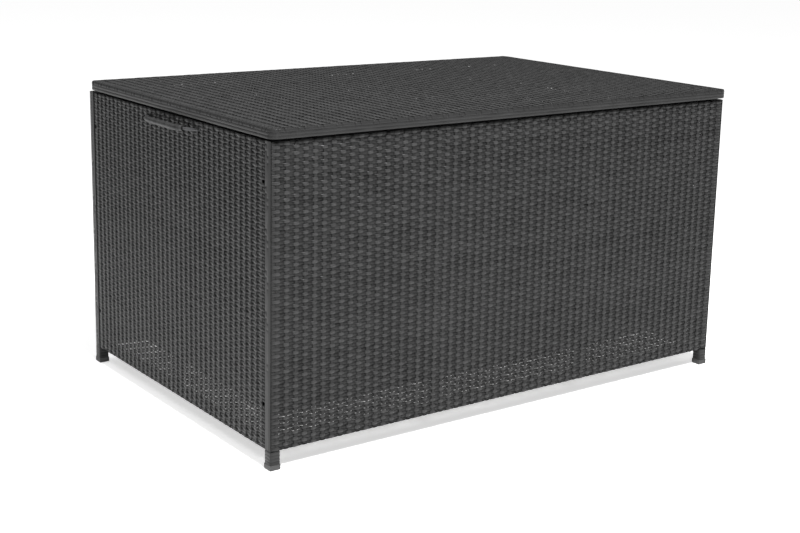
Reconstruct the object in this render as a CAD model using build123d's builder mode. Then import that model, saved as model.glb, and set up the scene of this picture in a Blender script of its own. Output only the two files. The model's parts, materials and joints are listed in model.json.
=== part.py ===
"""Deck storage box: a woven box on welded tube frames, with a hinged lid on two gas struts.

Millimetres. +Z is up, the front faces -Y, and the origin is on the floor under the middle of the
whole box, lid included. The body is four woven panels bolted together at its corners.
"""

import os
from math import hypot

from build123d import *

# Overall sizes
body_width = 1462.0  # across the end faces of the front and back panels
body_depth = 960.0  # front face to back face of the body
body_top = 770.0
panel_bottom = 46.0  # underside of the four panels, which the legs pass
lid_gap = 6.0  # daylight between the body and the closed lid
lid_overhang = 4.0  # past the body at its two ends
lid_forward = 10.0  # how far the lid overhangs the body's front face
lid_rear_inset = 10.0  # how far the lid stops short of the body's back face
lid_corner_radius = 22.0
lid_edge_radius = 6.0

# Tubes and weave
tube = 20.0  # side of the square frame tube
tube_wall = 1.0
weave_thick = 4.0  # flat strand over flat stake
corner_gap = 1.0  # between a side panel and the panel it is bolted to
lid_bar_x = 225.0  # the two middle crossbars of the lid frame
drain_radius = 3.0

# Feet
foot_height = 14.0
foot_edge_radius = 4.0
foot_plug_length = 18.0
plug_clearance = 0.15

# Floor
floor_top = 148.0  # top of the floor frame's tubes
floor_side_gap = 3.0
floor_bar_count = 4
slat_count = 9
slat_gap = 18.75
slat_thick = 6.0
floor_bracket_thick = 2.5
floor_bracket_reach = 38.0
floor_bracket_drop = 30.0

# Liner and its straps
liner_thick = 1.5
liner_gap = 2.0  # between the liner and the frames
liner_drop = 70.0  # from the body's top down to the liner's rim
strap_width = 25.0
strap_thick = 1.8
strap_overlap = 60.0  # stitched to the liner below its rim
strap_top_drop = 8.0  # from the body's top down to a strap's upper end
outer_strap_distance = 171.0  # from the body's end faces, along the front and back
inner_strap_x = 120.0
front_side_strap_distance = 120.0  # from a side panel's front end
rear_side_strap_distance = 95.0  # ahead of a side panel's middle
snap_radius = 6.0
snap_thick = 3.0

# Corner bolts
low_bolt_z = 155.0
high_bolt_drop = 95.0  # from the body's top down to the upper bolts
bolt_radius = 3.0
bolt_length = 18.0
bolt_head_radius = 4.2
bolt_head_thick = 3.3
bolt_socket_radius = 2.0
bolt_socket_depth = 2.0
washer_radius = 6.0
washer_thick = 1.2
bolt_clearance = 0.4
nut_radius = 4.5
nut_length = 12.0
nut_flange_radius = 6.0
nut_flange_thick = 0.8
nut_bore_clearance = 0.05
bolt_slot_height = 9.0
bolt_slot_length = 13.0
bolt_slot_offset = 5.0  # from the side panel's end to the slot

# Handles, one low bow on each side panel
handle_drop = 23.0  # from the body's top down to the handle
handle_half_length = 145.0
handle_half_grip = 78.0
handle_offset = 24.0  # from the panel's face to the middle of the grip
handle_bar_radius = 4.0
handle_wrap_radius = 8.0
handle_bend_radius = 110.0
handle_wrap_half_length = 98.0
handle_hole_clearance = 2.0

# Hinges
hinge_end_distance = 211.0  # from the body's end faces to the outer hinges
barrel_radius = 4.5
barrel_lid_clearance = 1.0
barrel_body_clearance = 1.0
hinge_pin_radius = 2.5
hinge_pin_clearance = 0.05
hinge_pin_overhang = 1.0
hinge_pin_head_radius = 3.5
outer_knuckle = 20.0
middle_knuckle = 24.0
knuckle_gap = 0.5
leaf_thick = 2.0
leaf_reach = 22.0
hinge_screw_x = 22.0
screw_radius = 2.0
screw_head_radius = 3.8
screw_length = 9.0
screw_clearance = 0.05
screw_recess = 1.0
lid_open_angle = 75.0

# Gas struts, given at the closed lid
strut_side_gap = 17.0  # from a side frame's inner face to the strut's axis
strut_body_drop = 48.0  # from the body's top down to the lower pin
strut_lid_reach = 250.5  # from the hinge line forwards to the upper pin
strut_lid_drop = 19.0  # from the lid's underside down to the upper pin
strut_tube_radius = 9.0
strut_tube_wall = 1.2
strut_tube_start = 13.0  # from the body pin to the tube's closed end
strut_rod_show = 29.8  # length of strut past the tube, to the lid pin, when the lid is closed
strut_rod_radius = 4.0
strut_rod_inside = 112.0  # length of rod inside the tube when the lid is closed
strut_piston_length = 8.0
strut_gland_length = 8.0
strut_running_clearance = 0.1
eye_radius = 7.0
eye_thick = 11.0
eye_neck_radius = 4.0
pin_radius = 3.0
pin_head_radius = 5.0
pin_head_thick = 1.5
pin_clearance = 0.05
bracket_thick = 2.5
bracket_gap = 0.5  # between a bracket and the eye beside it
bracket_half_length = 24.0
bracket_corner_radius = 5.0
lid_bracket_drop = 27.0
body_bracket_half_height = 15.0
body_screw_offset = 10.0

# Lid buffers
buffer_radius = 6.0
buffer_gap = 0.1
buffer_inset = 90.0  # from the ends of the side panels

# Places that follow from the sizes above
body_mid_y = lid_forward / 2
body_half_depth = body_depth / 2
lid_width = body_width + 2 * lid_overhang
lid_depth = body_depth + lid_forward - lid_rear_inset
panel_thick = tube + weave_thick
half_width = body_width / 2
frame_half_width = half_width - weave_thick
frame_bottom = panel_bottom + weave_thick
frame_top = body_top - weave_thick
side_half_length = body_half_depth - panel_thick - corner_gap
side_frame_half_length = side_half_length - weave_thick
inner_half_width = half_width - panel_thick
inner_half_depth = body_half_depth - panel_thick
lid_bottom = body_top + lid_gap
lid_front_y = body_mid_y - body_half_depth - lid_forward
lid_mid_y = lid_front_y + lid_depth / 2
lid_rear_y = lid_front_y + lid_depth
lid_frame_top = lid_bottom + tube
lid_thick = tube + weave_thick
hinge_y = lid_rear_y + barrel_lid_clearance + barrel_radius
hinge_z = body_top + barrel_body_clearance + barrel_radius
hinge_x = half_width - hinge_end_distance
hinge_xs = (-hinge_x, 0, hinge_x)
front_upright_x = body_width / 6  # the middle uprights of the front and back frames
bolt_heights = (low_bolt_z, body_top - high_bolt_drop)
handle_z = body_top - handle_drop
liner_top = body_top - liner_drop
strap_bottom = liner_top - strap_overlap
strap_top = body_top - strap_top_drop
strut_x = inner_half_width - strut_side_gap
strut_body_z = body_top - strut_body_drop
strut_lid_y = hinge_y - strut_lid_reach
strut_lid_z = lid_bottom - strut_lid_drop
strut_body_y = body_mid_y + side_frame_half_length - tube / 2  # on the side frame's rear upright
strut_bracket_face = strut_x - eye_thick / 2 - bracket_gap
strut_bar_outer = strut_bracket_face - bracket_thick
handle_root_x = frame_half_width - tube / 4
handle_grip_x = half_width + handle_offset
leg_x = frame_half_width - tube / 2
parts_folder = "parts"


def block(low, high, mode=Mode.ADD):
    """Adds or cuts the block between two opposite corners, in any order."""
    sizes = [abs(b - a) for a, b in zip(low, high)]
    middle = [(a + b) / 2 for a, b in zip(low, high)]
    base = Plane((middle[0], middle[1], min(low[2], high[2])))
    with BuildSketch(base) as outline:
        Rectangle(sizes[0], sizes[1])
    extrude(outline.sketch, amount=sizes[2], mode=mode)


def round_bar(start, direction, radius, length, mode=Mode.ADD):
    """Adds or cuts a round bar that runs from a point along a direction."""
    with BuildSketch(Plane(start, z_dir=direction)) as end:
        Circle(radius)
    extrude(end.sketch, amount=length, mode=mode)


def shrunk(low, high, amount):
    """The same block with every face moved inwards."""
    inner_low = [min(a, b) + amount for a, b in zip(low, high)]
    inner_high = [max(a, b) - amount for a, b in zip(low, high)]
    return inner_low, inner_high


def weld_tubes(members):
    """Adds square tubes given by their corners. Where they cross, their insides join."""
    for low, high in members:
        block(low, high)
    for low, high in members:
        block(*shrunk(low, high, tube_wall), mode=Mode.SUBTRACT)


def save(part, name):
    """Labels a finished piece and writes it under its own name."""
    part.label = name
    export_step(part, f"{parts_folder}/{name}.step")


# ---------------------------------------------------------------- front and back panels


def end_y(side, inset):
    """Y of a plane inset from the body's front (side -1) or back (side 1) face."""
    return body_mid_y + side * (body_half_depth - inset)


def make_end_frame(side, name):
    """Full-width frame with the two legs, two rails and two middle uprights."""
    outer = end_y(side, weave_thick)
    inner = end_y(side, panel_thick)
    members = []
    for left in (-frame_half_width, frame_half_width - tube):
        members.append(((left, outer, foot_height), (left + tube, inner, frame_top)))
    for bottom in (frame_bottom, frame_top - tube):
        members.append(((-frame_half_width, outer, bottom), (frame_half_width, inner, bottom + tube)))
    for x in (-front_upright_x, front_upright_x):
        members.append(((x - tube / 2, outer, frame_bottom), (x + tube / 2, inner, frame_top)))
    with BuildPart() as frame:
        weld_tubes(members)
        for x in (-leg_x, leg_x):
            leg_start = (x, end_y(side, weave_thick + tube / 2), foot_height)
            bore = tube / 2 - tube_wall
            block(
                (x - bore, leg_start[1] - bore, foot_height - 1),
                (x + bore, leg_start[1] + bore, foot_height + 2 * tube_wall),
                mode=Mode.SUBTRACT,
            )
            for height in bolt_heights:
                nut_hole = (x, inner - side * 2 * tube_wall, height)
                nut_hole_radius = nut_radius + nut_bore_clearance
                round_bar(nut_hole, (0, side, 0), nut_hole_radius, 4 * tube_wall, mode=Mode.SUBTRACT)
        if side > 0:
            for x, y in hinge_screw_places(body_leaf_screw_y):
                hole = (x, y, frame_top - 2 * tube_wall)
                round_bar(hole, (0, 0, 1), screw_radius + screw_clearance, 4 * tube_wall, Mode.SUBTRACT)
    save(frame.part, name)


def make_end_weave(side, name):
    """Woven skin over a front or back frame: its face, its four edges and the legs' sleeves."""
    outer = end_y(side, 0)
    inner = end_y(side, panel_thick)
    frame_outer = end_y(side, weave_thick)
    with BuildPart() as weave:
        block((-half_width, outer, panel_bottom), (half_width, inner, body_top))
        for x in (-leg_x, leg_x):
            sleeve_half = tube / 2 + weave_thick
            middle = end_y(side, weave_thick + tube / 2)
            block(
                (x - sleeve_half, middle - sleeve_half, foot_height),
                (x + sleeve_half, middle + sleeve_half, panel_bottom),
            )
            block(
                (x - tube / 2, middle - tube / 2, foot_height),
                (x + tube / 2, middle + tube / 2, frame_bottom),
                mode=Mode.SUBTRACT,
            )
        block(
            (-frame_half_width, frame_outer, frame_bottom),
            (frame_half_width, inner + side * -1, frame_top),
            mode=Mode.SUBTRACT,
        )
        if side > 0:
            for x, y in hinge_screw_places(body_leaf_screw_y):
                hole = (x, y, frame_top - 1)
                round_bar(hole, (0, 0, 1), screw_radius + screw_clearance, weave_thick + 2, Mode.SUBTRACT)
    save(weave.part, name)


def make_foot_caps():
    """Plastic caps plugged into the four legs, each with a rounded bottom edge."""
    with BuildPart() as caps:
        for side in (-1, 1):
            for x in (-leg_x, leg_x):
                y = end_y(side, weave_thick + tube / 2)
                half = tube / 2 + weave_thick
                plug_half = tube / 2 - tube_wall - plug_clearance
                block((x - half, y - half, 0), (x + half, y + half, foot_height))
                block(
                    (x - plug_half, y - plug_half, foot_height),
                    (x + plug_half, y + plug_half, foot_height + foot_plug_length),
                )
        fillet(caps.edges().group_by(Axis.Z)[0], foot_edge_radius)
    save(caps.part, "foot_caps")


# ---------------------------------------------------------------- side panels


def make_side_frame(side, name):
    """Frame of a side panel, bolted between the front and back panels."""
    outer = side * frame_half_width
    inner = side * inner_half_width
    low_y = body_mid_y - side_frame_half_length
    high_y = body_mid_y + side_frame_half_length
    members = []
    for start in (low_y, body_mid_y - tube / 2, high_y - tube):
        members.append(((outer, start, frame_bottom), (inner, start + tube, frame_top)))
    for bottom in (frame_bottom, frame_top - tube):
        members.append(((outer, low_y, bottom), (inner, high_y, bottom + tube)))
    with BuildPart() as frame:
        weld_tubes(members)
        for height in bolt_heights:
            for end in (-1, 1):
                edge = body_mid_y + end * (side_frame_half_length + 1)
                hole = (side * leg_x, edge, height)
                round_bar(hole, (0, -end, 0), bolt_radius + bolt_clearance, tube_wall + 2, Mode.SUBTRACT)
                cut_bolt_slot(side, end, height, tube_wall + 1)
        for y in (low_y + 2 * tube, high_y - 2 * tube):
            drain = (side * leg_x, y, frame_bottom - 1)
            round_bar(drain, (0, 0, 1), drain_radius, tube_wall + 2, Mode.SUBTRACT)
        for y in floor_bracket_ys():
            hole = (inner - side, y, floor_bracket_screw_z())
            round_bar(hole, (side, 0, 0), screw_radius + screw_clearance, tube_wall + 2, Mode.SUBTRACT)
        for y, z in body_bracket_screws():
            hole = (inner - side, y, z)
            round_bar(hole, (side, 0, 0), screw_radius + screw_clearance, tube_wall + 2, Mode.SUBTRACT)
    save(frame.part, name)


def cut_bolt_slot(side, end, height, depth):
    """Cuts the opening that a corner bolt is reached through, down to a depth in the frame."""
    near_y = body_mid_y + end * (side_half_length - bolt_slot_offset)
    far_y = near_y - end * bolt_slot_length
    half_height = bolt_slot_height / 2
    block(
        (side * (half_width + 1), near_y, height - half_height),
        (side * (frame_half_width - depth), far_y, height + half_height),
        mode=Mode.SUBTRACT,
    )


def make_side_weave(side, name):
    """Woven skin over a side frame, with slots to reach the bolts and holes for the handle."""
    outer = side * half_width
    inner = side * inner_half_width
    low_y = body_mid_y - side_half_length
    high_y = body_mid_y + side_half_length
    with BuildPart() as weave:
        block((outer, low_y, panel_bottom), (inner, high_y, body_top))
        block(
            (side * frame_half_width, low_y + weave_thick, frame_bottom),
            (inner - side, high_y - weave_thick, frame_top),
            mode=Mode.SUBTRACT,
        )
        for height in bolt_heights:
            for end in (-1, 1):
                edge = body_mid_y + end * (side_half_length + 1)
                hole = (side * leg_x, edge, height)
                round_bar(
                    hole, (0, -end, 0), bolt_radius + bolt_clearance, weave_thick + 2, Mode.SUBTRACT
                )
                cut_bolt_slot(side, end, height, 0)
        near, far = handle_hole_span()
        half_height = handle_bar_radius + handle_hole_clearance
        for end in (-1, 1):
            block(
                (outer + side, body_mid_y + end * near, handle_z - half_height),
                (side * frame_half_width, body_mid_y + end * far, handle_z + half_height),
                mode=Mode.SUBTRACT,
            )
    save(weave.part, name)


def handle_hole_span():
    """Where each end of the bar passes the skin, as distances from the middle of the handle."""
    run = handle_half_length - handle_half_grip
    rise = handle_grip_x - handle_root_x
    half_hole = handle_bar_radius * hypot(run, rise) / rise + handle_hole_clearance
    at_skin_face = handle_half_length - run * (half_width - handle_root_x) / rise
    at_frame_face = handle_half_length - run * (frame_half_width - handle_root_x) / rise
    return at_skin_face - half_hole, at_frame_face + half_hole


def handle_points(side):
    """The bow's corner points, from one end at the frame to the other."""
    root_x = side * handle_root_x
    grip_x = side * handle_grip_x
    return [
        (root_x, body_mid_y - handle_half_length, handle_z),
        (grip_x, body_mid_y - handle_half_grip, handle_z),
        (grip_x, body_mid_y + handle_half_grip, handle_z),
        (root_x, body_mid_y + handle_half_length, handle_z),
    ]


def make_handle(side, bar_name, wrap_name):
    """Bent steel bar welded to the side frame's top rail, and the strand wound on its grip."""
    points = handle_points(side)
    face = Plane((side * frame_half_width, body_mid_y, handle_z), z_dir=(side, 0, 0))
    with BuildPart() as bar:
        with BuildLine() as bar_route:
            FilletPolyline(*points, radius=handle_bend_radius)
        with BuildSketch(bar_route.line ^ 0):
            Circle(handle_bar_radius)
        sweep()
        split(bisect_by=face, keep=Keep.TOP)
    save(bar.part, bar_name)
    wrap_end = handle_wrap_half_length
    with BuildPart() as wrap:
        with BuildLine() as wrap_route:
            FilletPolyline(*points, radius=handle_bend_radius)
        with BuildSketch(wrap_route.line ^ 0):
            Circle(handle_wrap_radius)
            Circle(handle_bar_radius, mode=Mode.SUBTRACT)
        sweep()
        for end in (-1, 1):
            cut = Plane((0, body_mid_y + end * wrap_end, 0), z_dir=(0, -end, 0))
            split(bisect_by=cut, keep=Keep.TOP)
    save(wrap.part, wrap_name)


# ---------------------------------------------------------------- corner bolts


def make_corner_fasteners():
    """Eight bolts with washers inside the side frames' ends, into nuts riveted in the legs."""
    with BuildPart() as bolts:
        for x, seat, end, height in corner_bolt_places():
            under_head = seat - end * washer_thick
            round_bar((x, under_head, height), (0, end, 0), bolt_radius, bolt_length)
            round_bar((x, under_head, height), (0, -end, 0), bolt_head_radius, bolt_head_thick)
            socket = (x, under_head - end * bolt_head_thick, height)
            round_bar(socket, (0, end, 0), bolt_socket_radius, bolt_socket_depth, Mode.SUBTRACT)
    save(bolts.part, "corner_bolts")
    with BuildPart() as washers:
        for x, seat, end, height in corner_bolt_places():
            round_bar((x, seat, height), (0, -end, 0), washer_radius, washer_thick)
            hole = (x, seat + end, height)
            round_bar(hole, (0, -end, 0), bolt_radius + nut_bore_clearance, 3 * washer_thick, Mode.SUBTRACT)
    save(washers.part, "corner_washers")
    with BuildPart() as nuts:
        for x, _, end, height in corner_bolt_places():
            face = body_mid_y + end * inner_half_depth
            round_bar((x, face, height), (0, end, 0), nut_radius, nut_length)
            round_bar((x, face, height), (0, -end, 0), nut_flange_radius, nut_flange_thick)
            mouth = (x, face - end * 2 * nut_flange_thick, height)
            bore_length = nut_length + 4 * nut_flange_thick
            round_bar(mouth, (0, end, 0), bolt_radius + nut_bore_clearance, bore_length, Mode.SUBTRACT)
    save(nuts.part, "rivet_nuts")


def corner_bolt_places():
    """X, Y of the washer's seat, end (-1 front, 1 back) and height of each corner bolt."""
    places = []
    for x in (-leg_x, leg_x):
        for end in (-1, 1):
            for height in bolt_heights:
                seat = body_mid_y + end * (side_frame_half_length - tube_wall)
                places.append((x, seat, end, height))
    return places


# ---------------------------------------------------------------- floor


def floor_bracket_ys():
    """The brackets stand at the side frames' three uprights."""
    reach = side_frame_half_length - tube / 2
    return (body_mid_y - reach, body_mid_y, body_mid_y + reach)


def floor_bracket_screw_z():
    """Height of the screw through each floor bracket."""
    return floor_top - tube - floor_bracket_thick - floor_bracket_drop / 2


def make_floor():
    """Welded floor frame, its slats, and the brackets that hold it on the side frames."""
    half_x = inner_half_width - floor_side_gap
    half_y = inner_half_depth - floor_side_gap
    low_z = floor_top - tube
    members = []
    for y in (body_mid_y - half_y, body_mid_y + half_y - tube):
        members.append(((-half_x, y, low_z), (half_x, y + tube, floor_top)))
    span = 2 * half_x - tube
    for index in range(floor_bar_count + 2):
        left = -half_x + span * index / (floor_bar_count + 1)
        members.append(
            ((left, body_mid_y - half_y, low_z), (left + tube, body_mid_y + half_y, floor_top))
        )
    with BuildPart() as frame:
        weld_tubes(members)
        for x in (-half_x + 3 * tube, half_x - 3 * tube):
            drain = (x, body_mid_y - half_y + tube / 2, low_z - 1)
            round_bar(drain, (0, 0, 1), drain_radius, tube_wall + 2, Mode.SUBTRACT)
    save(frame.part, "floor_frame")

    slat_width = (2 * half_y - (slat_count - 1) * slat_gap) / slat_count
    pitch = slat_width + slat_gap
    with BuildPart() as slats:
        with BuildSketch(Plane((0, body_mid_y, floor_top))):
            with GridLocations(0, pitch, 1, slat_count):
                Rectangle(2 * half_x, slat_width)
        extrude(amount=slat_thick)
        fillet(slats.edges().group_by(Axis.Z)[-1].filter_by(Axis.X), slat_thick / 4)
    save(slats.part, "floor_slats")

    with BuildPart() as brackets:
        for side in (-1, 1):
            for y in floor_bracket_ys():
                wall = side * inner_half_width
                near_y = y - tube / 2
                far_y = y + tube / 2
                ledge_top = low_z
                ledge_bottom = low_z - floor_bracket_thick
                block((wall, near_y, ledge_bottom), (wall - side * floor_bracket_reach, far_y, ledge_top))
                block(
                    (wall, near_y, ledge_bottom - floor_bracket_drop),
                    (wall - side * floor_bracket_thick, far_y, ledge_top),
                )
                hole = (wall + side, y, floor_bracket_screw_z())
                depth = floor_bracket_thick + 2
                round_bar(hole, (-side, 0, 0), screw_radius + screw_clearance, depth, Mode.SUBTRACT)
    save(brackets.part, "floor_brackets")

    with BuildPart() as screws:
        for side in (-1, 1):
            for y in floor_bracket_ys():
                seat = (side * (inner_half_width - floor_bracket_thick), y, floor_bracket_screw_z())
                add_pan_screw(seat, (side, 0, 0))
    save(screws.part, "floor_bracket_screws")


def add_pan_screw(seat, direction):
    """Adds a raised-head screw that stands on its seat and runs along a direction."""
    backwards = tuple(-value for value in direction)
    round_bar(seat, direction, screw_radius, screw_length)
    round_bar(seat, backwards, screw_head_radius, screw_radius)


# ---------------------------------------------------------------- liner


def make_liner():
    """Open-topped fabric bag that stands on the slats."""
    half_x = inner_half_width - liner_gap
    half_y = inner_half_depth - liner_gap
    bottom = floor_top + slat_thick
    with BuildPart() as liner:
        block((-half_x, body_mid_y - half_y, bottom), (half_x, body_mid_y + half_y, liner_top))
        block(
            (-half_x + liner_thick, body_mid_y - half_y + liner_thick, bottom + liner_thick),
            (half_x - liner_thick, body_mid_y + half_y - liner_thick, liner_top + 1),
            mode=Mode.SUBTRACT,
        )
    save(liner.part, "liner")


def liner_strap_places():
    """Foot of each strap on a frame's inner face, and the direction that faces the liner."""
    outer_x = half_width - outer_strap_distance
    front_y = body_mid_y - side_half_length + front_side_strap_distance
    rear_y = body_mid_y - rear_side_strap_distance
    places = []
    for side in (-1, 1):
        for x in (-outer_x, -inner_strap_x, inner_strap_x, outer_x):
            places.append(((x, body_mid_y + side * inner_half_depth), (0, -side)))
        for y in (front_y, rear_y):
            places.append(((side * inner_half_width, y), (-side, 0)))
    return places


def make_liner_straps():
    """Webbing straps from the liner's wall up to the top rails, each held by a snap button."""
    with BuildPart() as straps:
        for (x, y), (nx, ny) in liner_strap_places():
            half = strap_width / 2
            low = (x - abs(ny) * half, y - abs(nx) * half, strap_bottom)
            high = (x + nx * strap_thick + abs(ny) * half, y + ny * strap_thick + abs(nx) * half, strap_top)
            block(low, high)
    save(straps.part, "liner_straps")
    with BuildPart() as snaps:
        for (x, y), (nx, ny) in liner_strap_places():
            start = (x + nx * strap_thick, y + ny * strap_thick, frame_top - tube / 2)
            round_bar(start, (nx, ny, 0), snap_radius, snap_thick)
        outer_rims = snaps.edges().filter_by(GeomType.CIRCLE)
        for side in (-1, 1):
            face_y = body_mid_y + side * (inner_half_depth - strap_thick - snap_thick)
            face_x = side * (inner_half_width - strap_thick - snap_thick)
            rims = outer_rims.filter_by(lambda edge: abs(edge.center().Y - face_y) < 0.01)
            rims += outer_rims.filter_by(lambda edge: abs(edge.center().X - face_x) < 0.01)
            fillet(rims, snap_thick / 3)
    save(snaps.part, "liner_snaps")


# ---------------------------------------------------------------- lid


def lid_outline(inset):
    """Sketches the lid's plan with every edge moved inwards, in the sketch being made."""
    RectangleRounded(lid_width - 2 * inset, lid_depth - 2 * inset, lid_corner_radius - inset)


def lid_bars():
    """Corners of the bars that cross the lid frame from front to back."""
    front = lid_front_y + weave_thick
    rear = lid_rear_y - weave_thick
    lefts = [-lid_bar_x - tube / 2, lid_bar_x - tube / 2]
    lefts += [-strut_bar_outer, strut_bar_outer - tube]
    return [((left, front, lid_bottom), (left + tube, rear, lid_frame_top)) for left in lefts]


def make_lid():
    """Lid frame bent from tube with crossbars, and the woven skin over its top and edges."""
    rail_inset = weave_thick + tube
    with BuildPart() as frame:
        with BuildSketch(Plane((0, lid_mid_y, lid_bottom))):
            lid_outline(weave_thick)
            Rectangle(lid_width - 2 * rail_inset, lid_depth - 2 * rail_inset, mode=Mode.SUBTRACT)
        extrude(amount=tube)
        for low, high in lid_bars():
            block(low, high)
        for low, high in lid_bars():
            block(*shrunk(low, high, tube_wall), mode=Mode.SUBTRACT)
        with BuildSketch(Plane((0, lid_mid_y, lid_bottom + tube_wall))):
            lid_outline(weave_thick + tube_wall)
            bore_inset = rail_inset - tube_wall
            Rectangle(lid_width - 2 * bore_inset, lid_depth - 2 * bore_inset, mode=Mode.SUBTRACT)
        extrude(amount=tube - 2 * tube_wall, mode=Mode.SUBTRACT)
        for x in (-front_upright_x / 2, front_upright_x / 2):
            drain = (x, lid_front_y + weave_thick + tube / 2, lid_bottom - 1)
            round_bar(drain, (0, 0, 1), drain_radius, tube_wall + 2, Mode.SUBTRACT)
        for x, y in hinge_screw_places(lid_leaf_screw_y):
            hole = (x, y, lid_bottom - 1)
            round_bar(hole, (0, 0, 1), screw_radius + screw_clearance, tube_wall + 2, Mode.SUBTRACT)
        for side in (-1, 1):
            for y, z in lid_bracket_screws():
                hole = (side * (strut_bar_outer + 1), y, z)
                round_bar(hole, (-side, 0, 0), screw_radius + screw_clearance, tube_wall + 2, Mode.SUBTRACT)
    save(frame.part, "lid_frame")

    with BuildPart() as weave:
        with BuildSketch(Plane((0, lid_mid_y, lid_bottom))):
            lid_outline(0)
        extrude(amount=lid_thick)
        with BuildSketch(Plane((0, lid_mid_y, lid_bottom))):
            lid_outline(weave_thick)
        extrude(amount=tube, mode=Mode.SUBTRACT)
        fillet(weave.edges().group_by(Axis.Z)[-1], lid_edge_radius)
    save(weave.part, "lid_weave")


def make_lid_buffers():
    """Four rubber buffers on the side panels' top edge, which the closed lid rests on."""
    with BuildPart() as buffers:
        for x in (-leg_x, leg_x):
            for end in (-1, 1):
                y = body_mid_y + end * (side_half_length - buffer_inset)
                round_bar((x, y, body_top), (0, 0, 1), buffer_radius, lid_gap - buffer_gap)
        fillet(buffers.edges().group_by(Axis.Z)[-1], lid_gap / 5)
    save(buffers.part, "lid_buffers")


# ---------------------------------------------------------------- hinges

body_leaf_screw_y = end_y(1, weave_thick + tube / 2)
lid_leaf_screw_y = lid_rear_y - weave_thick - tube / 2
hinge_half_length = middle_knuckle / 2 + knuckle_gap + outer_knuckle


def hinge_screw_places(y):
    """X and Y of the screws of one leaf of each hinge."""
    return [(x + offset, y) for x in hinge_xs for offset in (-hinge_screw_x, hinge_screw_x)]


def add_leaf(x, z, front_y):
    """Adds a flat hinge leaf that reaches the hinge line."""
    block((x - hinge_half_length, front_y, z), (x + hinge_half_length, hinge_y, z + leaf_thick))


def knuckle(x, start, length, radius, mode=Mode.ADD):
    """Adds or cuts a stretch of the hinge barrel, starting at an offset from its middle."""
    round_bar((x + start, hinge_y, hinge_z), (1, 0, 0), radius, length, mode)


def clear_knuckle(x, start, length):
    """Cuts away whatever stands where a knuckle of the other leaf turns."""
    reach = barrel_radius + knuckle_gap
    block(
        (x + start, hinge_y - reach, hinge_z - reach - lid_gap),
        (x + start + length, hinge_y + reach, hinge_z + reach),
        mode=Mode.SUBTRACT,
    )


def screw_hole(x, y, seat_z, direction):
    """Cuts a countersunk hole through a leaf, open at seat_z and narrowing along direction."""
    sink = screw_recess + screw_clearance
    with Locations(Plane((x, y, seat_z), z_dir=(0, 0, -direction))):
        CounterSinkHole(
            radius=screw_radius + screw_clearance,
            counter_sink_radius=screw_head_radius + sink - screw_clearance,
            depth=leaf_thick + 1,
        )


def make_hinge(x, name):
    """Butt hinge: a leaf on the body's back rail, a leaf under the lid's rear rail, and its pin."""
    outer_start = middle_knuckle / 2 + knuckle_gap
    bore = hinge_pin_radius + hinge_pin_clearance
    screw_xs = (x - hinge_screw_x, x + hinge_screw_x)
    with BuildPart() as body_leaf:
        add_leaf(x, body_top, hinge_y - leaf_reach)
        clear_knuckle(x, -outer_start, 2 * outer_start)
        for start in (-hinge_half_length, outer_start):
            knuckle(x, start, outer_knuckle, barrel_radius)
        knuckle(x, -hinge_half_length - 1, 2 * hinge_half_length + 2, bore, Mode.SUBTRACT)
        for screw_x in screw_xs:
            screw_hole(screw_x, body_leaf_screw_y, body_top + leaf_thick, -1)
    save(body_leaf.part, f"hinge_{name}_body_leaf")

    half_middle = middle_knuckle / 2
    with BuildPart() as lid_leaf:
        add_leaf(x, lid_bottom - leaf_thick, lid_rear_y - weave_thick - tube)
        for start in (-hinge_half_length - 1, half_middle):
            clear_knuckle(x, start, outer_knuckle + knuckle_gap + 1)
        knuckle(x, -half_middle, middle_knuckle, barrel_radius)
        knuckle(x, -half_middle - 1, middle_knuckle + 2, bore, Mode.SUBTRACT)
        for screw_x in screw_xs:
            screw_hole(screw_x, lid_leaf_screw_y, lid_bottom - leaf_thick, 1)
    save(lid_leaf.part, f"hinge_{name}_lid_leaf")

    with BuildPart() as pin:
        pin_half = hinge_half_length + hinge_pin_overhang
        knuckle(x, -pin_half, 2 * pin_half, hinge_pin_radius)
        for start in (-pin_half - hinge_pin_overhang, pin_half):
            knuckle(x, start, hinge_pin_overhang, hinge_pin_head_radius)
    save(pin.part, f"hinge_{name}_pin")


def add_sunk_screw(x, y, seat_z, direction):
    """Adds a countersunk screw whose head is just below seat_z and whose shank runs on."""
    head_z = seat_z + direction * screw_recess / 4
    head_plane = Plane((x, y, head_z), z_dir=(0, 0, direction))
    taper = screw_head_radius - screw_radius
    with BuildSketch(head_plane) as head_top:
        Circle(screw_head_radius - screw_recess / 4)
    with BuildSketch(head_plane.offset(taper)) as head_root:
        Circle(screw_radius)
    loft([head_top.sketch.face(), head_root.sketch.face()])
    round_bar((x, y, head_z), (0, 0, direction), screw_radius, screw_length)


def make_hinge_screws():
    """Screws of the leaves on the body and of the leaves under the lid."""
    with BuildPart() as body_screws:
        for x, y in hinge_screw_places(body_leaf_screw_y):
            add_sunk_screw(x, y, body_top + leaf_thick, -1)
    save(body_screws.part, "hinge_body_screws")
    with BuildPart() as lid_screws:
        for x, y in hinge_screw_places(lid_leaf_screw_y):
            add_sunk_screw(x, y, lid_bottom - leaf_thick, 1)
    save(lid_screws.part, "hinge_lid_screws")


# ---------------------------------------------------------------- gas struts

strut_length = hypot(strut_lid_y - strut_body_y, strut_lid_z - strut_body_z)
strut_tube_length = strut_length - strut_tube_start - strut_rod_show
strut_direction = Vector(0, strut_lid_y - strut_body_y, strut_lid_z - strut_body_z).normalized()


def strut_point(side, distance):
    """Point on a strut's axis, at a distance from its body pin."""
    start = Vector(side * strut_x, strut_body_y, strut_body_z)
    return start + strut_direction * distance


def body_bracket_screws():
    """Y and Z of a body bracket's two screws, above and below its pin."""
    return [(strut_body_y, strut_body_z + offset) for offset in (-body_screw_offset, body_screw_offset)]


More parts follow.
